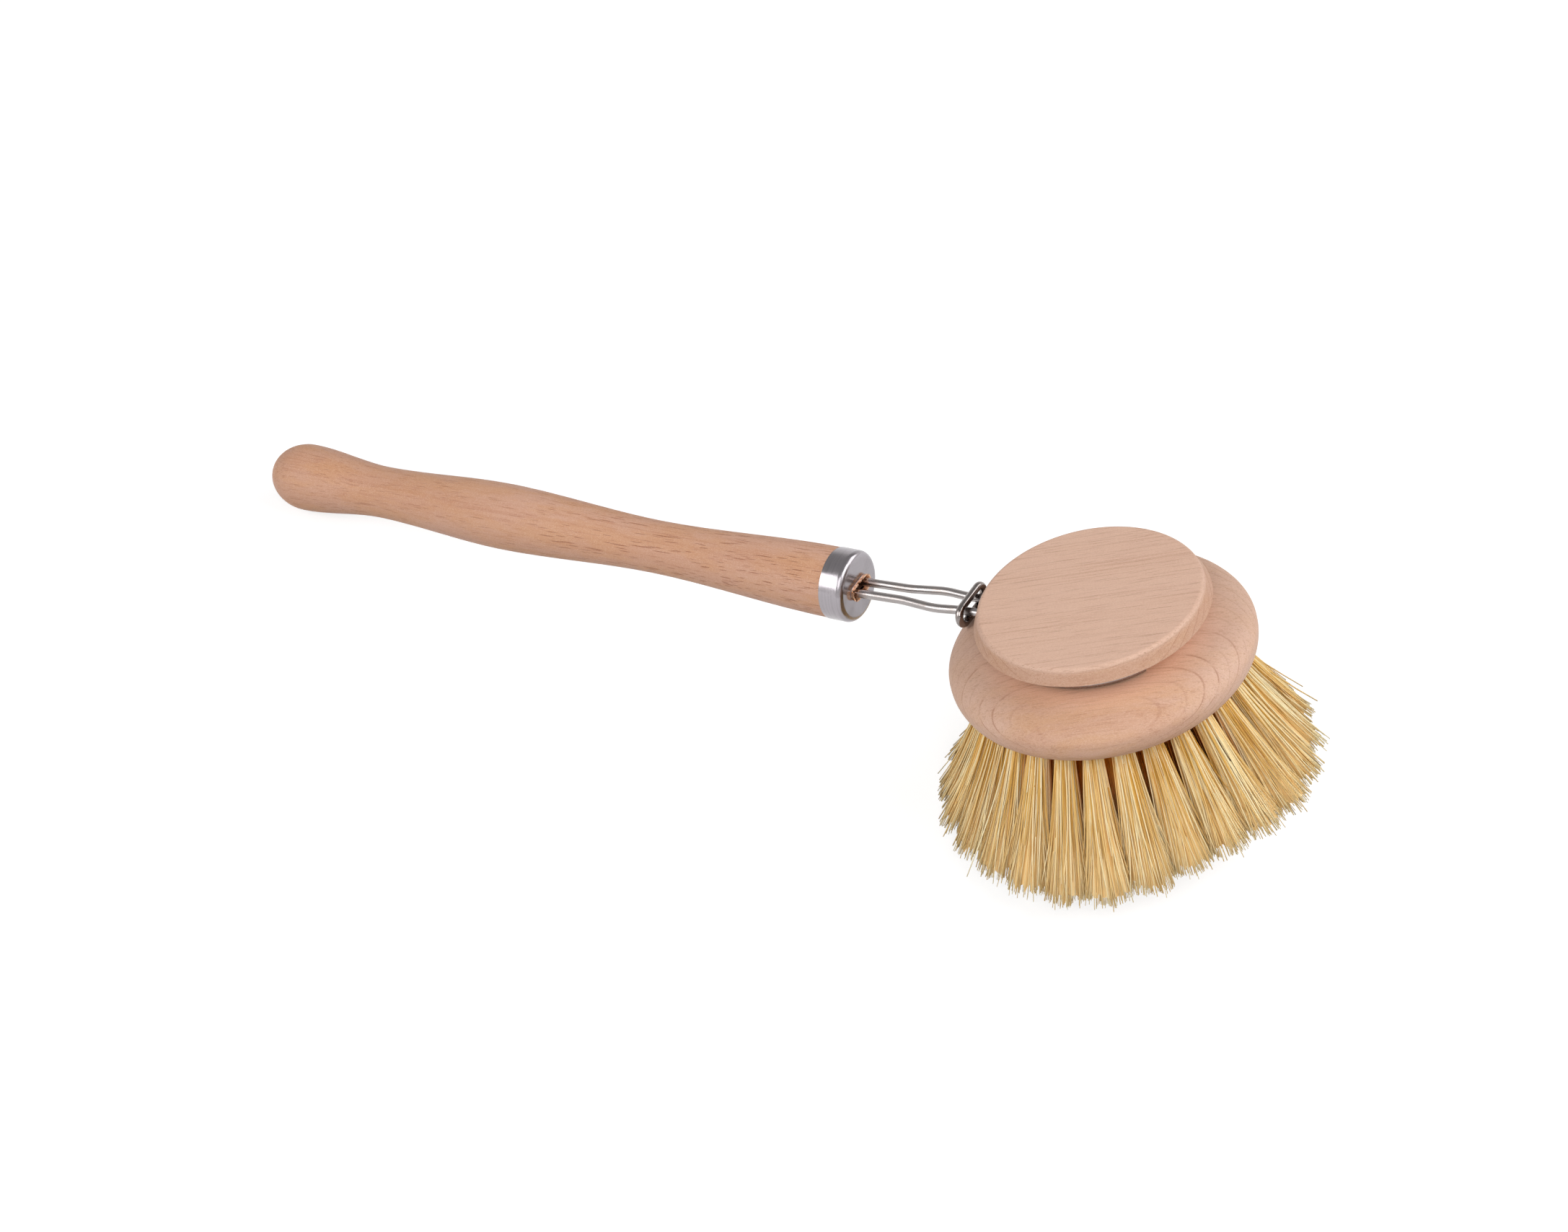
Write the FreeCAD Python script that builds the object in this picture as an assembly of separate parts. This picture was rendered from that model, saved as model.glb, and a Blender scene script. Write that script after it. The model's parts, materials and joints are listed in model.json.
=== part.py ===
import FreeCAD, Part
import math
import os

# A dish brush: a turned handle, a capped wire neck with a locking ring, and a head that turns in the clip.
# While it is built, the clip lies in the plane z = 0, the head's axis is Z and the handle points along -X.
# At the end the whole brush is laid down on the end of its handle and the tips of its rear tufts.

Vec = FreeCAD.Vector

# Fits, in millimetres
cut_overrun = 1.0
sliding_gap = 0.25
ring_gap = 0.15
seat_gap = 0.05

# Neck and clip wire
wire_diameter = 1.8
clip_radius = 18.4
clip_end_angle = 33.4
shoulder_bend_radius = 4.0
neck_length = 55.1
neck_spacing = 3.7
throat_spacing = 4.4
bow_spacing = 5.6
bow_bend_radius = 16.0
bow_start_share = 0.57
bow_peak_share = 0.27
bow_end_share = 0.07
tail_length = 9.0

# Locking ring
ring_wire_diameter = 1.65
ring_side_slack = 0.6

# Ferrule
ferrule_diameter = 15.05
ferrule_length = 5.2
ferrule_wall = 0.45
ferrule_edge_radius = 1.3
petal_height = 0.8
petal_wall = 0.3
petal_flare = 0.35
petal_notch = 0.45
petal_cut_count = 4

# Handle, stations measured from the ferrule's front
shoulder_diameter = 14.8
front_waist_diameter = 11.25
front_waist_place = 49.5
belly_diameter = 14.4
belly_place = 89.5
rear_waist_diameter = 11.4
rear_waist_place = 122.5
bulb_diameter = 14.9
bulb_place = 143.5
bulb_tail = 9.2
handle_rise_angle = 3.0

# Head block, heights measured from the clip's plane
face_diameter = 45.6
face_height = 7.05
face_edge_radius = 0.9
disc_diameter = 47.7
disc_lip_height = 3.85
flange_diameter = 62.0
flange_belly_depth = 6.25
flange_land = 0.6
flange_crown_width = 12.0
flange_foot_width = 5.0
block_depth = 11.3

# Tufts, one value for each row from the rim inwards
tuft_hole_diameter = 4.2
tuft_hole_depth = 8.0
tip_depth = 38.8
tip_spread_diameter = 75.0
outer_tip_diameter = 7.7
inner_tip_diameter = 8.4
row_names = ("outer", "middle", "inner", "core")
row_counts = (25, 16, 9, 3)
row_base_shares = (0.858, 0.604, 0.354, 0.131)
row_tip_shares = (1.0, 0.726, 0.458, 0.187)
outer_flute_count = 9
inner_side_count = 8
flute_depth_share = 0.1
waist_place_share = 0.45
waist_swell_share = 0.36

# Staples that hold the tufts in their holes
staple_height = 1.5
staple_thickness = 0.4

# Share of a quarter round's radius that its curve's middle poles reach
round_share = 0.5523
# Share of a run that a smooth swell's middle poles reach
swell_share = 1 / 3

wire_radius = wire_diameter / 2
ring_wire_radius = ring_wire_diameter / 2
groove_radius = wire_radius + sliding_gap
flange_radius = flange_diameter / 2
ferrule_radius = ferrule_diameter / 2
bulb_radius = bulb_diameter / 2
rise = math.radians(handle_rise_angle)
crown_radius = flange_radius - flange_crown_width
land_top_depth = flange_belly_depth - flange_land / 2
land_bottom_depth = flange_belly_depth + flange_land / 2
crown_height = land_top_depth - groove_radius
floor_radius = flange_radius - flange_foot_width
ring_leg_height = wire_radius + ring_gap + ring_wire_radius
ring_leg_reach = bow_spacing / 2 + wire_radius + ring_side_slack + ring_wire_radius


def line(start, end):
    return Part.LineSegment(start, end).toShape()


def arc(start, middle, end):
    return Part.Arc(start, middle, end).toShape()


def bezier(*poles):
    curve = Part.BezierCurve()
    curve.setPoles(list(poles))
    return curve.toShape()


def on_circle(centre, radius, angle):
    return centre + Vec(math.cos(angle), math.sin(angle), 0) * radius


def quarter_round(start, corner, end):
    """A quarter of an ellipse from start to end, drawn towards the corner between them."""
    return bezier(start, start + (corner - start) * round_share, end + (corner - end) * round_share, end)


def swell(start, end):
    """A smooth run between two diameters of a turning, level along X at both ends."""
    run = Vec((end.x - start.x) * swell_share, 0, 0)
    return bezier(start, start + run, end - run, end)


def turned(edges, axis):
    face = Part.Face(Part.Wire(Part.__sortEdges__(edges)))
    return face.revolve(Vec(0, 0, 0), axis, 360)


def rod(path, radius):
    """A round wire along tangent lines and arcs."""
    first = path.OrderedEdges[0]
    start = first.valueAt(first.FirstParameter)
    heading = first.tangentAt(first.FirstParameter)
    return path.makePipe(Part.Face(Part.Wire(Part.makeCircle(radius, start, heading))))


def rounded_run(points, radius):
    """Straight edges through the points, with a tangent arc at each corner."""
    edges = []
    start = points[0]
    for before, corner, after in zip(points, points[1:], points[2:]):
        back = (before - corner).normalize()
        ahead = (after - corner).normalize()
        half_angle = back.getAngle(ahead) / 2
        reach = radius / math.tan(half_angle)
        middle = (back + ahead).normalize()
        inset = radius / math.sin(half_angle) - radius
        first = corner + back * reach
        last = corner + ahead * reach
        edges.append(line(start, first))
        edges.append(arc(first, corner + middle * inset, last))
        start = last
    edges.append(line(start, points[-1]))
    return edges


def obround(half_length, half_height, x):
    """A closed run of two straights and two half rounds, square to X, long in Y."""
    straight = half_length - half_height
    corners = [Vec(x, y, z) for y, z in ((-straight, half_height), (straight, half_height),
                                         (straight, -half_height), (-straight, -half_height))]
    return Part.Wire([line(corners[0], corners[1]),
                      arc(corners[1], Vec(x, half_length, 0), corners[2]),
                      line(corners[2], corners[3]),
                      arc(corners[3], Vec(x, -half_length, 0), corners[0])])


def ring_place():
    """The ring's distance from the head's axis, pushed up against the flange's crown."""
    height_above_land = land_top_depth - ring_leg_height
    clear_height = crown_height + ring_wire_radius + sliding_gap
    clear_width = flange_crown_width + ring_wire_radius + sliding_gap
    level = height_above_land / clear_height
    return crown_radius + clear_width * math.sqrt(1 - level ** 2)


def wire_arm(side):
    """An arm on the +Y or -Y side, from its tail in the handle to its cut end round the head's far side."""
    def plan(x, y):
        return Vec(x, y * side, 0)

    def clip_point(angle):
        return plan(clip_radius * math.cos(angle), clip_radius * math.sin(angle))

    ring_x = ring_place()
    neck_run = neck_length - ring_x
    neck_y = neck_spacing / 2
    throat_y = throat_spacing / 2
    bend_y = throat_y + shoulder_bend_radius
    bend_x = -math.sqrt((clip_radius + shoulder_bend_radius) ** 2 - bend_y ** 2)
    turn = math.atan2(bend_y, bend_x)
    bend_middle = (turn - math.pi - math.pi / 2) / 2
    end = math.radians(clip_end_angle)
    bend_start = plan(bend_x, throat_y)
    neck = rounded_run([plan(-neck_length - tail_length, neck_y),
                        plan(-ring_x - neck_run * bow_start_share, neck_y),
                        plan(-ring_x - neck_run * bow_peak_share, bow_spacing / 2),
                        plan(-ring_x - neck_run * bow_end_share, throat_y),
                        bend_start], bow_bend_radius)
    shoulder = arc(bend_start,
                   plan(bend_x + shoulder_bend_radius * math.cos(bend_middle),
                        bend_y + shoulder_bend_radius * math.sin(bend_middle)),
                   clip_point(turn))
    clip = arc(clip_point(turn), clip_point((turn + end) / 2), clip_point(end))
    return rod(Part.Wire(neck + [shoulder, clip]), wire_radius)


def locking_ring():
    return rod(obround(ring_leg_reach, ring_leg_height, -ring_place()), ring_wire_radius)


def on_handle(shape):
    """Moves a piece turned about X, with its front at the origin, to the end of the neck."""
    shape.rotate(Vec(0, 0, 0), Vec(0, 1, 0), handle_rise_angle)
    shape.translate(Vec(-neck_length, 0, 0))
    return shape


def handle():
    spigot_radius = ferrule_radius - ferrule_wall - seat_gap
    spigot_edge = ferrule_edge_radius
    front = -ferrule_wall - seat_gap
    shoulder_x = -ferrule_length - seat_gap
    shoulder = Vec(shoulder_x, shoulder_diameter / 2, 0)
    front_waist = Vec(-front_waist_place, front_waist_diameter / 2, 0)
    belly = Vec(-belly_place, belly_diameter / 2, 0)
    rear_waist = Vec(-rear_waist_place, rear_waist_diameter / 2, 0)
    bulb = Vec(-bulb_place, bulb_radius, 0)
    tail = Vec(-bulb_place - bulb_tail, 0, 0)
    edges = [line(Vec(front, 0, 0), Vec(front, spigot_radius - spigot_edge, 0)),
             line(Vec(front, spigot_radius - spigot_edge, 0), Vec(front - spigot_edge, spigot_radius, 0)),
             line(Vec(front - spigot_edge, spigot_radius, 0), Vec(shoulder_x, spigot_radius, 0)),
             line(Vec(shoulder_x, spigot_radius, 0), shoulder),
             swell(shoulder, front_waist),
             swell(front_waist, belly),
             swell(belly, rear_waist),
             swell(rear_waist, bulb),
             quarter_round(bulb, Vec(tail.x, bulb.y, 0), tail),
             line(tail, Vec(front, 0, 0))]
    body = on_handle(turned(edges, Vec(1, 0, 0)))
    bore_radius = neck_spacing / 2 + wire_radius + sliding_gap
    bore_length = tail_length + sliding_gap + cut_overrun
    bore_bottom = Vec(-neck_length - tail_length - sliding_gap, 0, 0)
    return body.cut(Part.makeCylinder(bore_radius, bore_length, bore_bottom, Vec(1, 0, 0)))


def ferrule():
    """A drawn metal cap with a rounded front edge and torn petals round the hole for the two wires."""
    inner_radius = ferrule_radius - ferrule_wall
    inner_edge = ferrule_edge_radius - ferrule_wall
    rim = Vec(-ferrule_length, ferrule_radius, 0)
    outer_side = Vec(-ferrule_edge_radius, ferrule_radius, 0)
    outer_corner = Vec(0, ferrule_radius, 0)
    outer_front = Vec(0, ferrule_radius - ferrule_edge_radius, 0)
    inner_front = Vec(-ferrule_wall, inner_radius - inner_edge, 0)
    inner_corner = Vec(-ferrule_wall, inner_radius, 0)
    inner_side = Vec(-ferrule_wall - inner_edge, inner_radius, 0)
    inner_rim = Vec(-ferrule_length, inner_radius, 0)
    edges = [line(rim, outer_side),
             quarter_round(outer_side, outer_corner, outer_front),
             line(outer_front, Vec(0, 0, 0)),
             line(Vec(0, 0, 0), Vec(-ferrule_wall, 0, 0)),
             line(Vec(-ferrule_wall, 0, 0), inner_front),
             quarter_round(inner_front, inner_corner, inner_side),
             line(inner_side, inner_rim),
             line(inner_rim, rim)]
    cap = turned(edges, Vec(1, 0, 0))
    hole_length = neck_spacing / 2 + wire_radius + sliding_gap
    hole_height = wire_radius + sliding_gap
    back = -ferrule_wall - cut_overrun
    hole_run = Vec(petal_height - back + cut_overrun, 0, 0)
    hole = Part.Face(obround(hole_length, hole_height, back)).extrude(hole_run)
    outer_lip = Part.makeLoft([obround(hole_length + petal_wall, hole_height + petal_wall, -ferrule_wall),
                               obround(hole_length + petal_wall + petal_flare,
                                       hole_height + petal_wall + petal_flare, petal_height)], True)
    inner_lip = Part.makeLoft([obround(hole_length, hole_height, 0),
                               obround(hole_length + petal_flare,
                                       hole_height + petal_flare, petal_height)], True)
    lip = outer_lip.cut(inner_lip)
    notch_length = 2 * (hole_length + petal_wall + petal_flare + cut_overrun)
    for index in range(petal_cut_count):
        notch = Part.makeBox(petal_height + cut_overrun, notch_length, petal_notch)
        notch.translate(Vec(petal_wall, -notch_length / 2, -petal_notch / 2))
        notch.rotate(Vec(0, 0, 0), Vec(1, 0, 0), 180 * (index + 1 / 2) / petal_cut_count)
        lip = lip.cut(notch)
    return on_handle(cap.fuse(lip).cut(hole).removeSplitter())


def head_block():
    """The turned head: a disc over the wire's groove, a round-edged flange and the tufts' drilled holes."""
    wall_top = face_diameter / 2
    lip = Vec(disc_diameter / 2, 0, disc_lip_height)
    wall_edge = Vec(wall_top, 0, face_height - face_edge_radius)
    face_edge = Vec(wall_top - face_edge_radius, 0, face_height)
    face_corner = Vec(wall_top, 0, face_height)
    groove_top = Vec(clip_radius, 0, groove_radius)
    groove_floor = Vec(clip_radius - groove_radius, 0, 0)
    groove_bottom = Vec(clip_radius, 0, -groove_radius)
    crown = Vec(crown_radius, 0, -groove_radius)
    land_top = Vec(flange_radius, 0, -land_top_depth)
    land_bottom = Vec(flange_radius, 0, -land_bottom_depth)
    foot = Vec(floor_radius, 0, -block_depth)
    top = Vec(0, 0, face_height)
    bottom = Vec(0, 0, -block_depth)
    edges = [line(top, face_edge),
             quarter_round(face_edge, face_corner, wall_edge),
             line(wall_edge, lip),
             line(lip, groove_top),
             arc(groove_top, groove_floor, groove_bottom),
             line(groove_bottom, crown),
             quarter_round(crown, Vec(flange_radius, 0, -groove_radius), land_top),
             line(land_top, land_bottom),
             quarter_round(land_bottom, Vec(flange_radius, 0, -block_depth), foot),
             line(foot, bottom),
             line(bottom, top)]
    block = turned(edges, Vec(0, 0, 1))
    return block.cut(Part.makeCompound([drilled_hole(*seat) for seat in tuft_seats()]))


def tuft_seats():
    """Each tuft's row, its angle about the head's axis, and its distance from it at the hole and the tips."""
    base_limit = floor_radius
    tip_limit = (tip_spread_diameter - outer_tip_diameter) / 2
    for row, count in enumerate(row_counts):
        for index in range(count):
            angle = 360 * index / count
            yield row, angle, base_limit * row_base_shares[row], tip_limit * row_tip_shares[row]


def tuft_middle(base, tip, depth):
    """A tuft's middle at a depth below the clip's plane, on its straight lean from the hole to the tips."""
    lean = (tip - base) / (tip_depth - block_depth)
    return Vec(base + lean * (depth - block_depth), 0, -depth)


def drilled_hole(row, angle, base, tip):
    bottom = tuft_middle(base, tip, block_depth - tuft_hole_depth)
    mouth = tuft_middle(base, tip, block_depth + cut_overrun)
    run = mouth - bottom
    hole = Part.makeCylinder(tuft_hole_diameter / 2, run.Length, bottom, run)
    hole.rotate(Vec(0, 0, 0), Vec(0, 0, 1), angle)
    return hole


def tuft_section(middle, radius, row):
    """A closed outline of a bundle of fibres: lobed in the row that shows, plain inside."""
    lobes = outer_flute_count if row == 0 else inner_side_count
    corners = lobes * 2 if row == 0 else lobes
    points = []
    for index in range(corners):
        sunk = flute_depth_share if row == 0 and index % 2 else 0
        points.append(on_circle(middle, radius * (1 - sunk), 2 * math.pi * index / corners))
    return points


def flat_face(corners):
    return Part.Face(Part.makePolygon(corners + corners[:1]))


def flat_sided(outlines):
    """A solid with flat sides through level outlines of the same form."""
    faces = [flat_face(outlines[0]), flat_face(outlines[-1])]
    for upper, lower in zip(outlines, outlines[1:]):
        for index in range(len(upper)):
            faces.append(flat_face([upper[index - 1], upper[index], lower[index], lower[index - 1]]))
    return Part.makeSolid(Part.Shell(faces))


def tuft(row, angle, base, tip):
    """A bundle of fibres that leaves its hole straight and flares to its trimmed tips."""
    shank_radius = tuft_hole_diameter / 2 - seat_gap
    tip_radius = (outer_tip_diameter if row == 0 else inner_tip_diameter) / 2
    waist_depth = block_depth + (tip_depth - block_depth) * waist_place_share
    waist_radius = shank_radius + (tip_radius - shank_radius) * waist_swell_share
    top_depth = block_depth - tuft_hole_depth + staple_height + 2 * seat_gap
    stations = ((top_depth, shank_radius), (block_depth, shank_radius),
                (waist_depth, waist_radius), (tip_depth, tip_radius))
    outlines = [tuft_section(tuft_middle(base, tip, depth), radius, row) for depth, radius in stations]
    bundle = flat_sided(outlines)
    bundle.rotate(Vec(0, 0, 0), Vec(0, 0, 1), angle)
    return bundle


def staple(row, angle, base, tip):
    """A short flat wire across the end of a tuft's hole, which the fibres are folded over."""
    length = tuft_hole_diameter - 4 * sliding_gap
    bottom = tuft_middle(base, tip, block_depth - tuft_hole_depth)
    run = tuft_middle(base, tip, block_depth) - bottom
    plate = Part.makeBox(staple_thickness, length, staple_height)
    plate.translate(Vec(-staple_thickness / 2, -length / 2, seat_gap))
    seated = FreeCAD.Placement(bottom, FreeCAD.Rotation(Vec(0, 0, 1), run))
    plate.Placement = seated.multiply(plate.Placement)
    plate.rotate(Vec(0, 0, 0), Vec(0, 0, 1), angle)
    return plate


def bulb_reach(direction):
    """How far the handle's rounded end reaches along a direction in the brush's upright plane."""
    axis = Vec(-math.cos(rise), 0, math.sin(rise))
    centre = Vec(-neck_length, 0, 0) + axis * bulb_place
    along = direction.dot(axis)
    across = math.sqrt(1 - along ** 2)
    return centre.dot(direction) + math.hypot(bulb_tail * along, bulb_radius * across)


def rear_tip():
    """The point of the rear tufts' tips that is nearest the handle."""
    seats = [seat for seat in tuft_seats() if seat[0] == 0]
    reach = max(-math.cos(math.radians(angle)) * tip for row, angle, base, tip in seats)
    return Vec(-reach - outer_tip_diameter / 2, 0, -tip_depth)


def rest_angle():
    """The lean at which the handle's rounded end and the rear tips touch one level surface."""
    tip = rear_tip()
    axis_angle = 0
    for step in range(30):
        down = Vec(-math.sin(axis_angle), 0, -math.cos(axis_angle))
        short = bulb_reach(down) - tip.dot(down)
        axis_angle -= short / (neck_length + bulb_place + tip.x)
    return axis_angle


def lay_down():
    """The placement that lays the brush on the level surface z = 0, centred over the origin."""
    lean = rest_angle()
    ahead = Vec(math.cos(lean), 0, -math.sin(lean))
    up = Vec(math.sin(lean), 0, math.cos(lean))
    front = max(tip for row, angle, base, tip in tuft_seats()) + outer_tip_diameter / 2
    front_reach = Vec(front, 0, -tip_depth).dot(ahead)
    middle = (front_reach - bulb_reach(ahead * -1)) / 2
    turn = FreeCAD.Rotation(Vec(0, 1, 0), -math.degrees(lean))
    return FreeCAD.Placement(Vec(-middle, 0, -rear_tip().dot(up)), turn)


def pieces():
    yield "handle", handle()
    yield "ferrule", ferrule()
    yield "wire_arm_left", wire_arm(1)
    yield "wire_arm_right", wire_arm(-1)
    yield "locking_ring", locking_ring()
    yield "head_block", head_block()
    numbers = [0] * len(row_names)
    for seat in tuft_seats():
        numbers[seat[0]] += 1
        yield f"tuft_{row_names[seat[0]]}_{numbers[seat[0]]:02d}", tuft(*seat)
    yield "tuft_staples", Part.makeCompound([staple(*seat) for seat in tuft_seats()])


def main():
    os.makedirs("parts", exist_ok=True)
    laid = lay_down()
    for name, shape in pieces():
        shape.Placement = laid.multiply(shape.Placement)
        shape.exportStep(f"parts/{name}.step")
    print("lean of the head's axis, degrees", math.degrees(rest_angle()))
    print("clip's middle", laid.multVec(Vec(0, 0, 0)))
    print("ferrule's front", laid.multVec(Vec(-neck_length, 0, 0)))
    print("ring's middle", laid.multVec(Vec(-ring_place(), 0, 0)))
    print("face's middle", laid.multVec(Vec(0, 0, face_height)))


main()
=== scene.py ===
import json
import math
import bpy
import numpy as np
from mathutils import Matrix, Vector


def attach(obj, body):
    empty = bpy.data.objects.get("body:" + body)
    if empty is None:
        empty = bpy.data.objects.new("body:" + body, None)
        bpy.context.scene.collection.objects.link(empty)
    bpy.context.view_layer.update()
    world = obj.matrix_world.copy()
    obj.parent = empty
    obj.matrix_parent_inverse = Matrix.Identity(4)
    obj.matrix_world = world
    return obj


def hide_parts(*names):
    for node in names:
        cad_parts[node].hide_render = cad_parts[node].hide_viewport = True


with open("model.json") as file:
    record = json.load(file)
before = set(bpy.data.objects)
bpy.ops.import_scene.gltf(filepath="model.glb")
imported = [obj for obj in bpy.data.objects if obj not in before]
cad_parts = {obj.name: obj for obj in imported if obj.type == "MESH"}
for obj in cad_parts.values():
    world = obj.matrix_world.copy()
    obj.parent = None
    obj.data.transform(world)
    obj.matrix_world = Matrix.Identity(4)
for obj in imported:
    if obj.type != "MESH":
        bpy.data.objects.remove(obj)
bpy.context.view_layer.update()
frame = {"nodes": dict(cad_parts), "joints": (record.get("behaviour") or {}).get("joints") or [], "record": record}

nodes = frame["nodes"]
joints = {joint["name"]: joint for joint in frame["joints"]}
mounts = {mount["name"]: mount for mount in frame["record"]["mounts"]}
scene = bpy.context.scene
mm = 0.001

# The brush's own directions: its head's axis is up, its handle lies behind, its left arm is on the left.
up = Vector(joints["head_turn"]["axis"]).normalized()
ahead = -Vector(joints["ring_slide"]["axis"]).normalized()
left = up.cross(ahead)
clip_middle = Vector(joints["head_turn"]["pos_m"])
pivot = Vector(joints["left_arm_spring"]["pos_m"])
ferrule_front = Vector((pivot.x, 0, pivot.z))
handle_back = Vector(mounts["handle_grip"]["axis"]).normalized()
handle_side = Vector((0, 1, 0))
handle_up = handle_side.cross(handle_back)


def on_brush(x, y, z):
    """A point in millimetres along, across and above the clip's plane, from the clip's middle."""
    return clip_middle + (ahead * x + left * y + up * z) * mm


def head_direction(angle, rise=0):
    """A direction in the head's plane, in degrees from ahead towards the left, with a rise."""
    turn = math.radians(angle)
    return (ahead * math.cos(turn) + left * math.sin(turn) + up * rise).normalized()


# Shader building blocks

def blank(name):
    material = bpy.data.materials.new(name)
    material.use_nodes = True
    material.node_tree.nodes.clear()
    return material, material.node_tree


def node(tree, kind, inputs=None, **settings):
    made = tree.nodes.new(kind)
    for key, value in settings.items():
        setattr(made, key, value)
    for socket, value in (inputs or {}).items():
        if isinstance(value, bpy.types.NodeSocket):
            tree.links.new(value, made.inputs[socket])
        else:
            made.inputs[socket].default_value = value
    return made


def maths(tree, operation, *values):
    return node(tree, "ShaderNodeMath", dict(enumerate(values)), operation=operation).outputs[0]


def product(tree, first, second):
    return maths(tree, "MULTIPLY", first, second)


def larger(tree, first, second):
    return maths(tree, "MAXIMUM", first, second)


def distance(tree, first, second):
    return maths(tree, "SQRT", maths(tree, "ADD", product(tree, first, first), product(tree, second, second)))


def dot(tree, vector, direction):
    made = node(tree, "ShaderNodeVectorMath", {0: vector, 1: direction}, operation="DOT_PRODUCT")
    return made.outputs["Value"]


def combine(tree, x, y, z):
    return node(tree, "ShaderNodeCombineXYZ", {0: x, 1: y, 2: z}).outputs[0]


def noise(tree, place, stretch, detail=2.0, roughness=0.5):
    """Noise with its own number of waves for each unit along the three directions of a place."""
    waves = node(tree, "ShaderNodeVectorMath", {0: place, 1: stretch}, operation="MULTIPLY").outputs[0]
    inputs = {"Vector": waves, "Scale": 1.0, "Detail": detail, "Roughness": roughness}
    return node(tree, "ShaderNodeTexNoise", inputs).outputs["Fac"]


def span(tree, value, low, high, to_low=0.0, to_high=1.0):
    """A smooth step of a value, from one level at low to another at high."""
    inputs = {"Value": value, "From Min": low, "From Max": high, "To Min": to_low, "To Max": to_high}
    return node(tree, "ShaderNodeMapRange", inputs, interpolation_type="SMOOTHSTEP").outputs["Result"]


def blended(tree, factor, first, second, blend_type="MIX"):
    made = node(tree, "ShaderNodeMix", {0: factor}, data_type="RGBA", blend_type=blend_type)
    for socket, value in ((6, first), (7, second)):
        if isinstance(value, bpy.types.NodeSocket):
            tree.links.new(value, made.inputs[socket])
        else:
            made.inputs[socket].default_value = (*value, 1.0)
    return made.outputs[2]


def bumped(tree, height, strength, depth):
    inputs = {"Height": height, "Strength": strength, "Distance": depth}
    return node(tree, "ShaderNodeBump", inputs).outputs["Normal"]


def surface(tree, inputs):
    shader = node(tree, "ShaderNodeBsdfPrincipled", inputs)
    output = node(tree, "ShaderNodeOutputMaterial")
    tree.links.new(shader.outputs[0], output.inputs["Surface"])


def local(tree, origin, x, y, z):
    """Millimetres from an origin along three directions, which move with the piece."""
    where = node(tree, "ShaderNodeTexCoord").outputs["Object"]
    moved = node(tree, "ShaderNodeVectorMath", {0: where, 1: origin}, operation="SUBTRACT").outputs[0]
    return [dot(tree, moved, direction / mm) for direction in (x, y, z)]


def seen_directly(tree):
    """One where the camera sees a surface, also by reflection or through glass, and nothing where it only lights."""
    rays = node(tree, "ShaderNodeLightPath").outputs
    return larger(tree, rays["Is Camera Ray"], larger(tree, rays["Is Glossy Ray"], rays["Is Transmission Ray"]))


# Wood

def dashes(tree, along, across, aside, sway, length, width, keep):
    """Short dark dashes along the grain, as cut pores and rays show, with some of them left out."""
    cells = combine(tree, maths(tree, "DIVIDE", along, length),
                    maths(tree, "DIVIDE", maths(tree, "MULTIPLY_ADD", sway, 2.0, across), width),
                    maths(tree, "DIVIDE", maths(tree, "MULTIPLY_ADD", sway, -1.4, aside), width))
    cell = node(tree, "ShaderNodeTexVoronoi", {"Vector": cells, "Scale": 1.0, "Randomness": 1.0})
    chosen = node(tree, "ShaderNodeSeparateColor", {"Color": cell.outputs["Color"]}).outputs[0]
    return product(tree, span(tree, cell.outputs["Distance"], 0.2, 0.42, 1.0, 0.0),
                   span(tree, chosen, 1.0 - keep, 1.0 - keep / 3))


def growth_lines(tree, depth, gap, place, thin):
    """Thin dark lines at the end of each year's growth, each of its own strength and broken along the grain."""
    count = maths(tree, "DIVIDE", depth, gap)
    phase = maths(tree, "FRACT", count)
    year = maths(tree, "FLOOR", count)
    strength = node(tree, "ShaderNodeTexWhiteNoise", {"W": year}, noise_dimensions="1D").outputs["Value"]
    edge = product(tree, span(tree, phase, 1.0 - 2.2 * thin, 1.0 - thin),
                   span(tree, phase, 1.0 - thin, 1.0, 1.0, 0.0))
    soft = product(tree, span(tree, phase, 0.2, 0.9), span(tree, phase, 0.9, 1.0, 0.16, 0.0))
    broken = span(tree, noise(tree, place, (0.09, 0.3, 0.3), 3.0), 0.34, 0.52)
    lines = maths(tree, "ADD", product(tree, edge, broken), soft)
    return product(tree, lines, span(tree, strength, 0.0, 1.0, 0.35, 1.0))


def turned_zones(tree, origin, along, colour, wall_shade_colour, face_low, face_high, face_colour_and_light):
    """The head's zones: its disc's side with painted shade, painted warm light on the dome under the disc's lip, the
    dome's pale ends, and the pale face, whose colour is partly painted light.
    """
    ahead_of, left_of, level = local(tree, origin, ahead, left, up)
    lip_low, lip_high = face_low - 3.0, face_low - 2.0
    painted_wall_shade = span(tree, level, lip_low, lip_high)
    below = span(tree, level, lip_low, lip_high, 1.0, 0.0)
    # Painted light: the dome just under the disc's lip is lightened towards a warm orange, in place of the lip's shade.
    painted_cove_light = product(tree, span(tree, distance(tree, ahead_of, left_of), 20.0, 27.0, 0.65, 0.0), below)
    ends = product(tree, span(tree, maths(tree, "ABSOLUTE", along), 12.0, 26.0, 0.0, 0.45), below)
    top = span(tree, level, face_low, face_high)
    # Painted shade: the disc's side below the face is mixed halfway towards a darker deep tone.
    colour = blended(tree, product(tree, painted_wall_shade, 0.5), colour, wall_shade_colour)
    colour = blended(tree, painted_cove_light, colour, (0.80, 0.50, 0.35))
    colour = blended(tree, ends, colour, (0.74, 0.53, 0.43))
    # The face's pale colour is partly the wood's own and partly painted light on the top.
    return blended(tree, product(tree, top, 0.8), colour, face_colour_and_light), top


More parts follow.
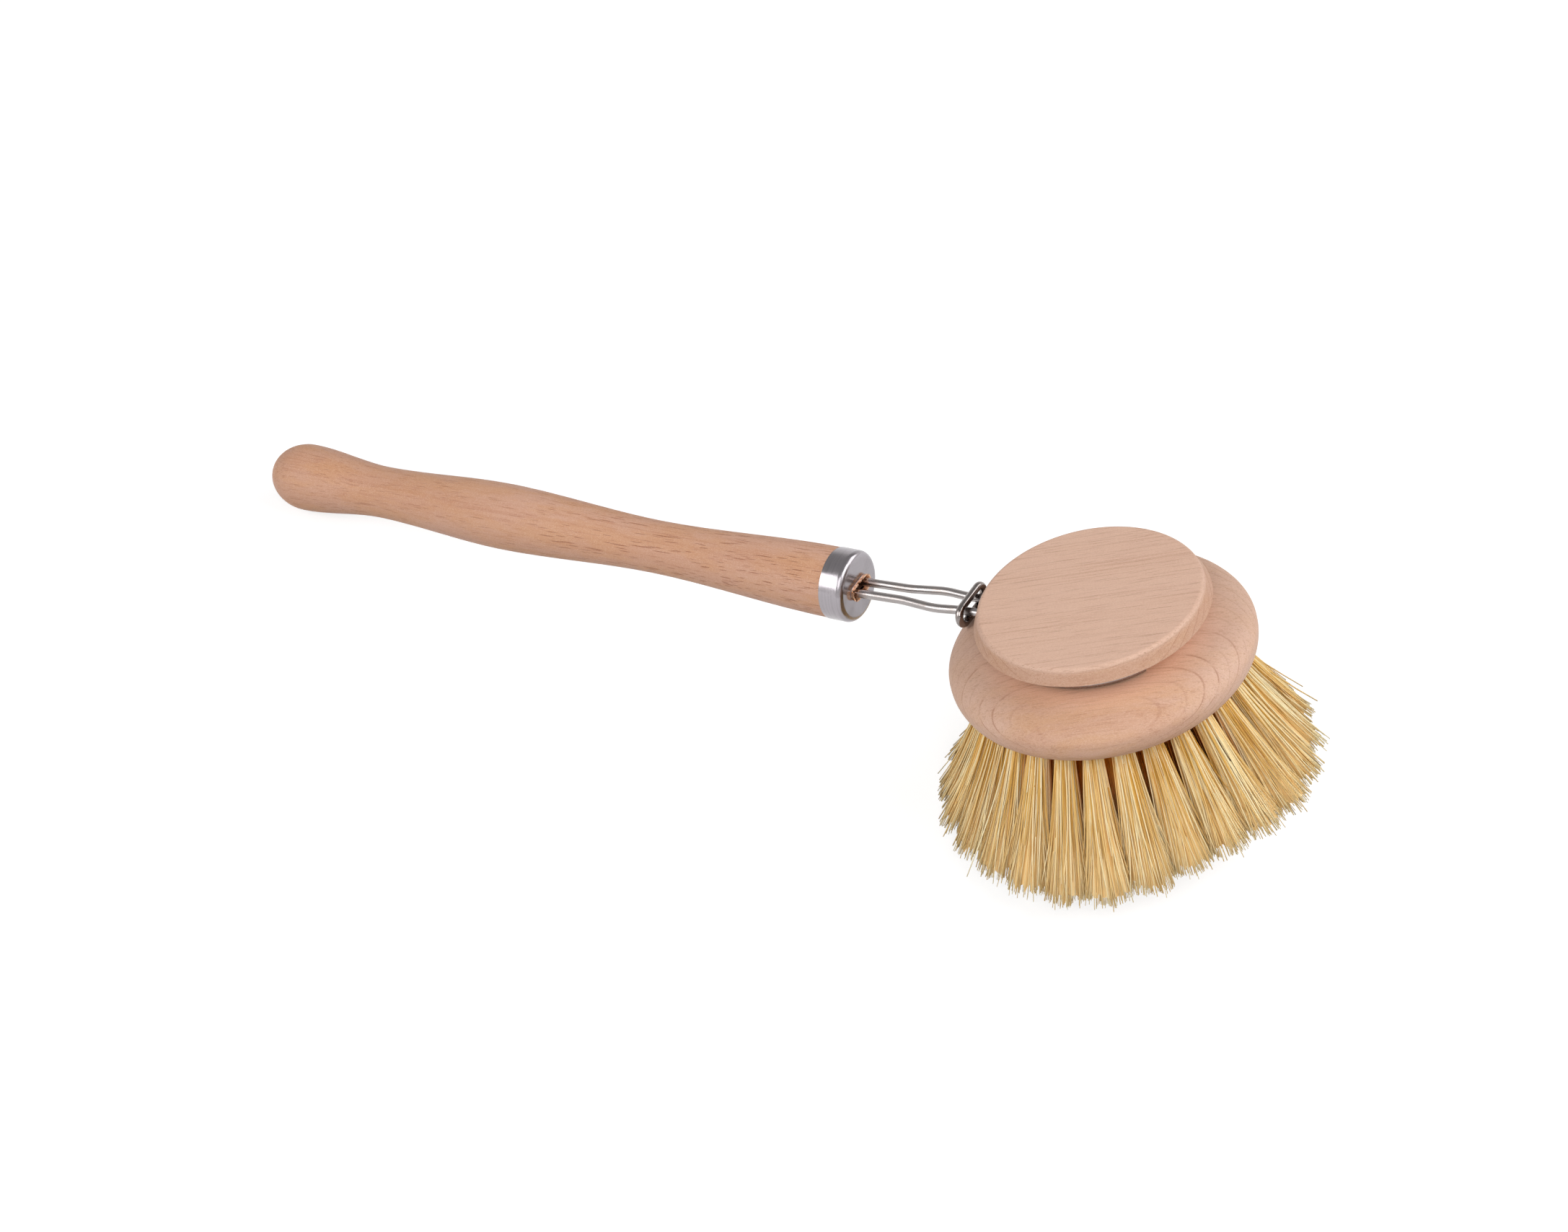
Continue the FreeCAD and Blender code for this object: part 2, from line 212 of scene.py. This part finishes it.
def beech(name, origin, grain, layer, pale, deep, ochre, line, gap, curve, line_share,
          dash_share, dash_length, dash_width, mottle, face=None, fade=None):
    """Beech with tone patches, growth layers across one direction, and pores and streaks along the grain."""
    material, tree = blank(name)
    along, across, aside = local(tree, origin, grain, layer, grain.cross(layer))
    place = combine(tree, along, across, aside)
    stagger = maths(tree, "MULTIPLY_ADD", across, 7.3, maths(tree, "MULTIPLY_ADD", aside, 5.1, along))
    sway = noise(tree, place, (0.03, 0.05, 0.05))

    bend = maths(tree, "DIVIDE", product(tree, aside, aside), 2 * curve)
    depth = maths(tree, "ADD", maths(tree, "ADD", across, bend), product(tree, sway, 1.6))
    slant = maths(tree, "MULTIPLY_ADD", across, 0.75,
                  maths(tree, "MULTIPLY_ADD", aside, 0.66, product(tree, sway, 4.0)))
    layers = growth_lines(tree, depth, gap, place, 0.09)
    veins = growth_lines(tree, slant, gap * 1.6, place, 0.07)
    lines = larger(tree, product(tree, layers, line_share), product(tree, veins, line_share * 0.2))
    lines = product(tree, lines, span(tree, maths(tree, "ABSOLUTE", along), 5.0, 19.0, 0.12, 1.0))

    tone = noise(tree, place, (0.016, 0.13, 0.13), 3.0, 0.55)
    patch = noise(tree, place, (0.055, 0.22, 0.22), 4.0, 0.6)
    streak = noise(tree, combine(tree, stagger, across, aside), (0.03, 2.2, 2.2), 4.0, 0.65)
    grit = noise(tree, place, (3.0, 6.0, 6.0), 3.0, 0.7)
    pores = larger(tree, dashes(tree, stagger, across, aside, sway, dash_length, dash_width, 0.55),
                   dashes(tree, stagger, across, aside, sway, dash_length * 1.8, dash_width * 1.3, 0.3))
    pores = product(tree, pores, span(tree, patch, 0.3, 0.6, 0.7, 1.0))
    if fade is not None:
        pores = product(tree, pores, span(tree, along, *fade, 1.0, 0.5))
    dark = product(tree, pores, dash_share)

    colour = blended(tree, span(tree, tone, 0.36, 0.64), pale, deep)
    colour = blended(tree, span(tree, patch, 0.4, 0.62, 0.0, mottle), colour, ochre)
    if face is not None:
        # A darker tone of the deep colour, for the painted shade on the disc's side.
        wall_shade_colour = tuple(0.82 * value for value in deep)
        colour, top = turned_zones(tree, origin, along, colour, wall_shade_colour, *face)
        lines = product(tree, lines, span(tree, top, 0.0, 1.0, 1.0, 0.22))
        dark = product(tree, dark, span(tree, top, 0.0, 1.0, 1.0, 1.3))
    colour = blended(tree, lines, colour, line)
    colour = blended(tree, dark, colour, tuple(0.8 * value for value in line))
    colour = blended(tree, span(tree, streak, 0.5, 0.74, 0.0, 0.34), colour, line)
    colour = blended(tree, span(tree, grit, 0.45, 0.72, 0.0, 0.24), colour, (0.90, 0.70, 0.56))
    colour = blended(tree, span(tree, grit, 0.28, 0.5, 0.14, 0.0), colour, line)
    relief = maths(tree, "SUBTRACT", maths(tree, "MULTIPLY_ADD", streak, 0.5, product(tree, grit, 0.6)),
                   product(tree, pores, 0.5))
    surface(tree, {"Base Color": colour, "Roughness": span(tree, grit, 0.3, 0.7, 0.62, 0.48),
                   "Specular IOR Level": 0.3, "Normal": bumped(tree, relief, 0.3, 0.00014)})
    return material


# Gaps, curves, lengths, widths and levels are in millimetres. The handle's dashes fade from its front waist to its belly.
handle_wood = beech(
    "handle_beech", ferrule_front, handle_back, (handle_up + handle_side * 0.5).normalized(),
    pale=(0.632, 0.364, 0.258), deep=(0.592, 0.316, 0.204), ochre=(0.615, 0.310, 0.150), line=(0.410, 0.150, 0.072),
    gap=4.6, curve=30.0, line_share=0.2, dash_share=0.95, dash_length=4.2, dash_width=0.33, mottle=0.5,
    fade=(45.0, 95.0))
head_wood = beech(
    "head_beech", clip_middle, head_direction(25), head_direction(-65, 3.0),
    pale=(0.650, 0.400, 0.286), deep=(0.607, 0.350, 0.235), ochre=(0.622, 0.354, 0.206), line=(0.370, 0.150, 0.080),
    gap=1.3, curve=200.0, line_share=0.56, dash_share=0.3, dash_length=8.0, dash_width=0.24, mottle=0.7,
    # The last colour is the face's pale colour, partly painted light on the disc's top.
    face=(5.6, 6.9, (0.740, 0.495, 0.380)))


# Metal

def drawn_metal(name, origin, along, base, dark, rough_low, rough_high, stretch, rust_reach):
    """Bright drawn metal with faint lengthwise streaks, dull patches, and rust near the origin."""
    material, tree = blank(name)
    side = up if abs(along.dot(up)) < 0.9 else left
    first = along.cross(side).normalized()
    u, v, w = local(tree, origin, along, first, along.cross(first))
    place = combine(tree, u, v, w)
    streak = noise(tree, place, stretch, 3.0, 0.6)
    patch = noise(tree, place, (0.35, 0.35, 0.35), 3.0, 0.6)
    rust = product(tree, span(tree, u, 0.0, rust_reach, 0.75, 0.0), span(tree, patch, 0.35, 0.6))
    colour = blended(tree, span(tree, streak, 0.35, 0.7, 0.0, 0.7), base, dark)
    colour = blended(tree, span(tree, patch, 0.5, 0.75, 0.0, 0.3), colour, (0.34, 0.26, 0.21))
    colour = blended(tree, rust, colour, (0.24, 0.12, 0.06))
    rough = maths(tree, "ADD", span(tree, patch, 0.3, 0.7, rough_low, rough_high),
                  span(tree, streak, 0.4, 0.8, 0.0, 0.08))
    surface(tree, {"Base Color": colour, "Metallic": 1.0, "Roughness": rough,
                   "Normal": bumped(tree, streak, 0.1, 0.00004)})
    return material


def tinplate():
    """Bright tinned sheet with a brown band along the lower front crease, partly stained and partly a painted dark
    reflection, and rusty at the torn petals.
    """
    material, tree = blank("tinplate")
    back, across, rise = local(tree, ferrule_front, handle_back, handle_side, handle_up)
    place = combine(tree, back, across, rise)
    hoops = noise(tree, place, (3.0, 0.1, 0.1), 3.0, 0.6)
    spots = noise(tree, place, (2.2, 2.2, 2.2), 4.0, 0.65)
    clouds = noise(tree, place, (0.3, 0.3, 0.3))
    radius = distance(tree, across, rise)
    # A brown band along the front crease, mostly on its lower side: partly stained, partly a painted dark reflection.
    crease = product(tree, span(tree, radius, 6.1, 6.5), span(tree, radius, 6.6, 7.2, 1.0, 0.0))
    low = span(tree, maths(tree, "MULTIPLY_ADD", across, -0.5, product(tree, rise, -0.86)), 1.0, 5.0)
    front = span(tree, back, 0.1, 0.6, 1.0, 0.0)
    stain_and_reflection = product(tree, product(tree, crease, front), low)
    petal = span(tree, back, -0.14, -0.04, 1.0, 0.0)
    rust = blended(tree, span(tree, spots, 0.42, 0.6), (0.95, 0.66, 0.45), (0.62, 0.30, 0.16))
    colour = blended(tree, span(tree, hoops, 0.4, 0.7, 0.0, 0.45), (0.365, 0.34, 0.36), (0.28, 0.26, 0.275))
    colour = blended(tree, span(tree, spots, 0.6, 0.78, 0.0, 0.4), colour, (0.30, 0.28, 0.28))
    colour = blended(tree, product(tree, stain_and_reflection, span(tree, spots, 0.3, 0.6, 0.3, 0.8)), colour, (0.36, 0.23, 0.09))
    colour = blended(tree, product(tree, petal, span(tree, spots, 0.3, 0.5, 0.6, 1.0)), colour, rust)
    rough = maths(tree, "ADD", span(tree, clouds, 0.3, 0.7, 0.18, 0.28),
                  product(tree, larger(tree, petal, stain_and_reflection), 0.2))
    relief = maths(tree, "MULTIPLY_ADD", spots, 0.4, hoops)
    surface(tree, {"Base Color": colour, "Metallic": 1.0, "Roughness": rough,
                   "Normal": bumped(tree, relief, 0.1, 0.00005)})
    return material


wire_metal = drawn_metal("spring_wire", ferrule_front, ahead, base=(0.40, 0.37, 0.365), dark=(0.27, 0.245, 0.235),
                         rough_low=0.2, rough_high=0.32, stretch=(0.05, 2.6, 2.6), rust_reach=5.0)
ring_metal = drawn_metal("ring_steel", on_brush(-40, 0, 0), ahead, base=(0.30, 0.27, 0.26), dark=(0.22, 0.195, 0.185),
                         rough_low=0.1, rough_high=0.18, stretch=(0.3, 1.2, 1.2), rust_reach=1.0)
staple_metal = drawn_metal("staple_wire", on_brush(0, 0, -20), up, base=(0.55, 0.53, 0.50), dark=(0.35, 0.33, 0.31),
                           rough_low=0.3, rough_high=0.45, stretch=(0.3, 2.0, 2.0), rust_reach=1.0)
for name, material in (("handle", handle_wood), ("head_block", head_wood), ("ferrule", tinplate()),
                       ("wire_arm_left", wire_metal), ("wire_arm_right", wire_metal),
                       ("locking_ring", ring_metal), ("tuft_staples", staple_metal)):
    nodes[name].data.materials.clear()
    nodes[name].data.materials.append(material)


# Fibres

def straw():
    """Plant fibre whose tone, painted shade (the value named depth) and reach towards the tip are values of its mesh.
    """
    material, tree = blank("fibre")
    tone, reach, depth = (node(tree, "ShaderNodeAttribute", attribute_name=name).outputs["Fac"]
                          for name in ("tone", "reach", "depth"))
    ramp = node(tree, "ShaderNodeValToRGB", {"Fac": tone})
    steps = ((0.0, (0.060, 0.030, 0.016)), (0.03, (0.085, 0.040, 0.018)), (0.05, (0.52, 0.25, 0.03)),
             (0.25, (0.80, 0.48, 0.13)), (0.6, (0.96, 0.69, 0.31)), (1.0, (1.0, 0.88, 0.58)))
    ramp.color_ramp.elements.remove(ramp.color_ramp.elements[1])
    ramp.color_ramp.elements[0].color = (*steps[0][1], 1.0)
    for position, colour in steps[1:]:
        ramp.color_ramp.elements.new(position).color = (*colour, 1.0)
    where = node(tree, "ShaderNodeTexCoord").outputs["Object"]
    mottle = noise(tree, where, (500.0, 500.0, 500.0), 3.0, 0.6)
    colour = blended(tree, span(tree, mottle, 0.42, 0.75, 0.0, 0.25), ramp.outputs["Color"], (0.78, 0.50, 0.13))
    # Painted shade: the depth value multiplies the colour towards deep orange, for inward fibres, inner tufts and
    # roots.
    colour = blended(tree, depth, colour, (1.0, 0.40, 0.04), "MULTIPLY")
    colour = blended(tree, span(tree, reach, 0.3, 1.0, 0.0, 0.36), colour, (1.0, 0.84, 0.50))
    surface(tree, {"Base Color": colour, "Roughness": span(tree, mottle, 0.3, 0.7, 0.42, 0.6),
                   "Specular IOR Level": 0.06, "Normal": bumped(tree, mottle, 0.15, 0.00005)})
    return material


fibre_material = straw()
basis = np.array([ahead, left, up])
middle = np.array(clip_middle)
full_turn = 2 * np.pi


def tuft_levels(name):
    """Depth, middle and radius of a packed tuft's level sections, in millimetres on the brush."""
    points = np.array([vertex.co for vertex in nodes[name].data.vertices])
    points = (points - middle) @ basis.T / mm
    keys = np.round(points[:, 2], 1)
    rows = []
    for key in sorted(set(keys), reverse=True):
        ring = points[keys == key]
        centre = ring.mean(0)
        rows.append((-centre[2], centre[0], centre[1], np.hypot(*(ring - centre)[:, :2].T).max()))
    return np.array(rows)


def bump_about(angle, centre, width):
    """One at an angle, falling to nothing a width away on both sides, in degrees."""
    away = abs((angle - centre + 180) % 360 - 180)
    return 0.5 + 0.5 * math.cos(math.pi * min(away / width, 1.0))


def fibre_lines(levels, turn, part, ends, steps, chance, shown, loose):
    """Lines of one tuft's fibres from inside its hole to their ends, by their angle and their share of its radius, with
    their reach along the tuft and their painted shade.
    """
    _, mouth, _, tip = levels
    count = len(turn)
    angle = math.degrees(math.atan2(tip[2], tip[1]))
    wide = 2.0 * bump_about(angle, -165, 60) - 1.4 * bump_about(angle, -35, 40)
    longer = 1.2 * bump_about(angle, -90, 60) - 1.2 * bump_about(angle, -35, 40)
    start = mouth[0] - 2.0
    lean = (tip[1:3] - mouth[1:3]) / (tip[0] - mouth[0])
    outward = tip[1:3] / np.hypot(*tip[1:3])
    depth = start + (tip[0] + longer * shown + ends[:, None] - start) * np.linspace(0, 1, steps)
    flared = np.clip((depth - mouth[0]) / (tip[0] - mouth[0]), 0, 1.1)
    spread = np.interp(depth, levels[1:, 0], levels[1:, 3]) * (0.81 + 0.57 * np.clip(flared, 0, 1) ** 2)
    twist = turn[:, None] + loose * chance.normal(0, 0.28, count)[:, None] * flared
    bow = loose * chance.normal(0, 0.3, (2, count))[:, :, None] * np.sin(np.pi * flared)
    strays = loose * (chance.random(count) < 0.035)[:, None]
    stray = strays * np.clip(chance.normal(0, 2.0, (2, count)), -2.2, 2.2)[:, :, None] * flared ** 1.5
    lines = np.empty((count, steps, 3))
    for axis, wave in ((0, np.cos(twist)), (1, np.sin(twist))):
        lines[:, :, axis] = (mouth[1 + axis] + lean[axis] * (depth - mouth[0]) + spread * part[:, None] * wave
                             + bow[axis] + stray[axis] + outward[axis] * wide * shown * flared ** 2)
    lines[:, :, 2] = -depth
    # Painted shade: full on the inner tufts, stronger on a fibre's inward side and near the root, fading out towards
    # the tip.
    inward = np.cos(twist - np.arctan2(outward[1], outward[0])) * part[:, None]
    painted_inward_shade = np.interp(inward, (-0.8, 0.1), (0.7, 0.0)) if shown == 1.0 else np.ones_like(flared)
    painted_shade = np.clip(painted_inward_shade + np.interp(flared, (0.0, 0.12), (0.35, 0.0)), 0, 1)
    painted_shade = painted_shade * np.interp(flared, (0.4, 0.9), (1.0, 0.1))
    return middle + lines @ basis * mm, flared, painted_shade


def tubes(lines, thickness, sides):
    """Points and faces of thin tapered tubes along the lines."""
    count, steps, _ = lines.shape
    lines = lines.copy()
    lines[:, :, 2] = np.maximum(lines[:, :, 2], thickness[:, None] * mm)
    run = lines[:, -1] - lines[:, 0]
    run /= np.linalg.norm(run, axis=1)[:, None]
    first = np.cross(run, [0.3, 0.9, 0.1])
    first /= np.linalg.norm(first, axis=1)[:, None]
    second = np.cross(run, first)
    taper = np.interp(np.linspace(0, 1, steps), (0, 0.6, 1), (1, 0.92, 0.6))
    radius = thickness[:, None] * taper * mm
    turns = np.linspace(0, full_turn, sides, endpoint=False)
    points = (lines[:, :, None]
              + radius[:, :, None, None] * (np.cos(turns)[:, None] * first[:, None, None]
                                            + np.sin(turns)[:, None] * second[:, None, None]))
    index = np.arange(count * steps * sides).reshape(count, steps, sides)
    here, there = index[:, :-1], index[:, 1:]
    quads = np.stack([here, np.roll(here, -1, 2), np.roll(there, -1, 2), there], -1).reshape(-1, 4)
    return points, quads.tolist() + index[:, -1].tolist()


def bundle(lines, offset):
    """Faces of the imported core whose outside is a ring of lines, and the points that close it just inside its end."""
    columns, steps, _ = lines.shape
    index = offset + np.arange(columns * steps).reshape(columns, steps)
    aside = np.roll(index, -1, 0)
    quads = np.stack([index[:, :-1], aside[:, :-1], aside[:, 1:], index[:, 1:]], -1).reshape(-1, 4)
    rim = lines[:, -2] + (lines[:, -1] - lines[:, -2]) * 0.7
    rim += (rim.mean(0) - rim) * 0.06
    around = offset + columns * steps + np.arange(columns)
    fan = np.stack([around, np.roll(around, -1), np.full(columns, around[-1] + 1)], -1)
    return np.vstack([rim, rim.mean(0)]), quads.tolist() + fan.tolist()


def dress_tuft(name, seed):
    """Loose fibres round a packed core, in place of the tuft's solid."""
    chance = np.random.default_rng(seed)
    levels = tuft_levels(name)
    outer = "outer" in name
    shown = 1.0 if outer else 0.4
    count, steps, sides, columns = (260, 7, 4, 60) if outer else (130, 5, 3, 24)

    part = np.sqrt(np.where(chance.random(count) < 0.7, chance.uniform(0.68, 1.0, count), chance.random(count)))
    ends = chance.normal(0, 0.38, count) - 2.5 * chance.random(count) ** 9
    turn = chance.uniform(0, full_turn, count)
    part = part * chance.normal(1.0, 0.08, count)
    lines, flared, painted_shade = fibre_lines(levels, turn, part, ends, steps, chance, shown, 1.0)
    pale = chance.random(count) < 0.5
    tones = np.clip(np.where(pale, chance.normal(0.88, 0.12, count), chance.normal(0.34, 0.2, count)), 0.06, 1.0)
    angle = math.degrees(math.atan2(levels[-1][2], levels[-1][1]))
    dark_share = 0.02 if outer and bump_about(angle, -8, 26) > 0 else 0.003
    tones[chance.random(count) < dark_share] = 0.02
    points, faces = tubes(lines, chance.uniform(0.12, 0.195, count), sides)

    core_turn = np.linspace(0, full_turn, columns, endpoint=False)
    core_ends = chance.normal(-1.3, 0.45, columns)
    core, core_flared, core_painted_shade = fibre_lines(levels, core_turn, np.full(columns, 0.87), core_ends,
                                               steps, chance, shown, 0.0)
    core[:, :, 2] = np.maximum(core[:, :, 2], 0.1 * mm)
    core_tones = np.clip(chance.normal(0.4, 0.25, columns), 0.08, 1.0)
    cap, core_faces = bundle(core, points.size // 3)

    mesh = bpy.data.meshes.new(name + "_fibres")
    corners = np.concatenate([points.reshape(-1, 3), core.reshape(-1, 3), cap])
    mesh.from_pydata(corners.tolist(), [], faces + core_faces)
    # The depth value is painted shade, with a little more on the core and its cap.
    for key, loose_values, core_values, cap_value in (
            ("tone", tones[:, None, None], core_tones[:, None], 0.4),
            ("reach", np.clip(flared, 0, 1)[:, :, None], np.clip(core_flared, 0, 1), 0.9),
            ("depth", painted_shade[:, :, None], np.clip(core_painted_shade + 0.1, 0, 1), 0.3)):
        values = np.concatenate([np.broadcast_to(loose_values, points.shape[:3]).ravel(),
                                 np.broadcast_to(core_values, core.shape[:2]).ravel(),
                                 np.full(len(cap), cap_value)])
        mesh.attributes.new(key, "FLOAT", "POINT").data.foreach_set("value", values.astype(np.float32))
    mesh.shade_smooth()
    mesh.materials.append(fibre_material)
    piece = bpy.data.objects.new(name + "_fibres", mesh)
    scene.collection.objects.link(piece)
    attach(piece, "head")
    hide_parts(name)


tufts = sorted(name for name in nodes if name.startswith("tuft_") and name != "tuft_staples")
for seed, name in enumerate(tufts, 100):
    dress_tuft(name, seed)


# Floor, light and camera

def paper():
    """White paper, which stays white behind the brush and keeps its shadow."""
    material, tree = blank("paper")
    where = node(tree, "ShaderNodeTexCoord").outputs["Object"]
    away = node(tree, "ShaderNodeVectorMath", {0: where}, operation="LENGTH").outputs["Value"]
    glow = product(tree, seen_directly(tree), span(tree, away, 0.25, 0.8, 0.72, 1.0))
    surface(tree, {"Base Color": (0.45, 0.45, 0.45, 1.0), "Roughness": 0.9, "Specular IOR Level": 0.0,
                   "Emission Color": (1.0, 1.0, 1.0, 1.0), "Emission Strength": glow})
    return material


half = 4.0
floor_mesh = bpy.data.meshes.new("floor")
floor_mesh.from_pydata([(-half, -half, 0), (half, -half, 0), (half, half, 0), (-half, half, 0)], [], [(0, 1, 2, 3)])
floor_mesh.materials.append(paper())
floor = bpy.data.objects.new("floor", floor_mesh)
scene.collection.objects.link(floor)

softbox_width = 0.7
softbox_height = 0.6
softbox_aim = Vector((0.04, 0.0, 0.03))
for name, place, power in (("front", (0.38, -0.70, 0.78), 4.3), ("right", (0.78, 0.10, 0.80), 5.1),
                           ("left", (-0.55, -0.75, 0.60), 5.4), ("back", (0.60, 0.70, 0.60), 3.6)):
    lamp = bpy.data.lights.new(name, "AREA")
    lamp.shape = "RECTANGLE"
    lamp.size = softbox_width
    lamp.size_y = softbox_height
    lamp.energy = power
    holder = bpy.data.objects.new(name, lamp)
    holder.location = place
    holder.rotation_euler = (softbox_aim - Vector(place)).to_track_quat("-Z", "Y").to_euler()
    scene.collection.objects.link(holder)

# The studio round the brush lights it evenly and faintly, and is white near the floor where it is seen.
world = bpy.data.worlds.new("studio")
world.use_nodes = True
sky = world.node_tree
sky.nodes.clear()
direction = node(sky, "ShaderNodeTexCoord").outputs["Generated"]
height = node(sky, "ShaderNodeSeparateXYZ", {0: direction}).outputs["Z"]
lighting = span(sky, height, 0.0, 0.8, 0.12, 0.15)
shown_more = maths(sky, "SUBTRACT", span(sky, height, 0.17, 0.5, 1.0, 0.42), lighting)
strength = maths(sky, "MULTIPLY_ADD", seen_directly(sky), shown_more, lighting)
background = node(sky, "ShaderNodeBackground", {"Color": (1.0, 0.99, 0.98, 1.0), "Strength": strength})
sky_output = node(sky, "ShaderNodeOutputWorld")
sky.links.new(background.outputs[0], sky_output.inputs["Surface"])
scene.world = world

# The camera that fits the photograph's turned circles and handle
photo_width = 2174
focal_pixels = 5000
view_right = Vector((0.87088, 0.48979, -0.04087))
view_down = Vector((0.31245, -0.6159, -0.72322))
view_place = Vector((0.29457308, -0.46741335, 0.53964396))
view_ahead = view_right.cross(view_down).normalized()
view_up = -(view_ahead.cross(view_right)).normalized()
camera = bpy.data.cameras.new("camera")
camera.sensor_width = 36.0
camera.sensor_fit = "HORIZONTAL"
camera.lens = focal_pixels / photo_width * camera.sensor_width
camera.clip_start = 0.01
camera.clip_end = 20.0
viewer = bpy.data.objects.new("camera", camera)
turned = Matrix((view_right.normalized(), view_up, -view_ahead)).transposed()
viewer.matrix_world = Matrix.Translation(view_place) @ turned.to_4x4()
scene.collection.objects.link(viewer)
scene.camera = viewer
scene.view_settings.view_transform = "Standard"
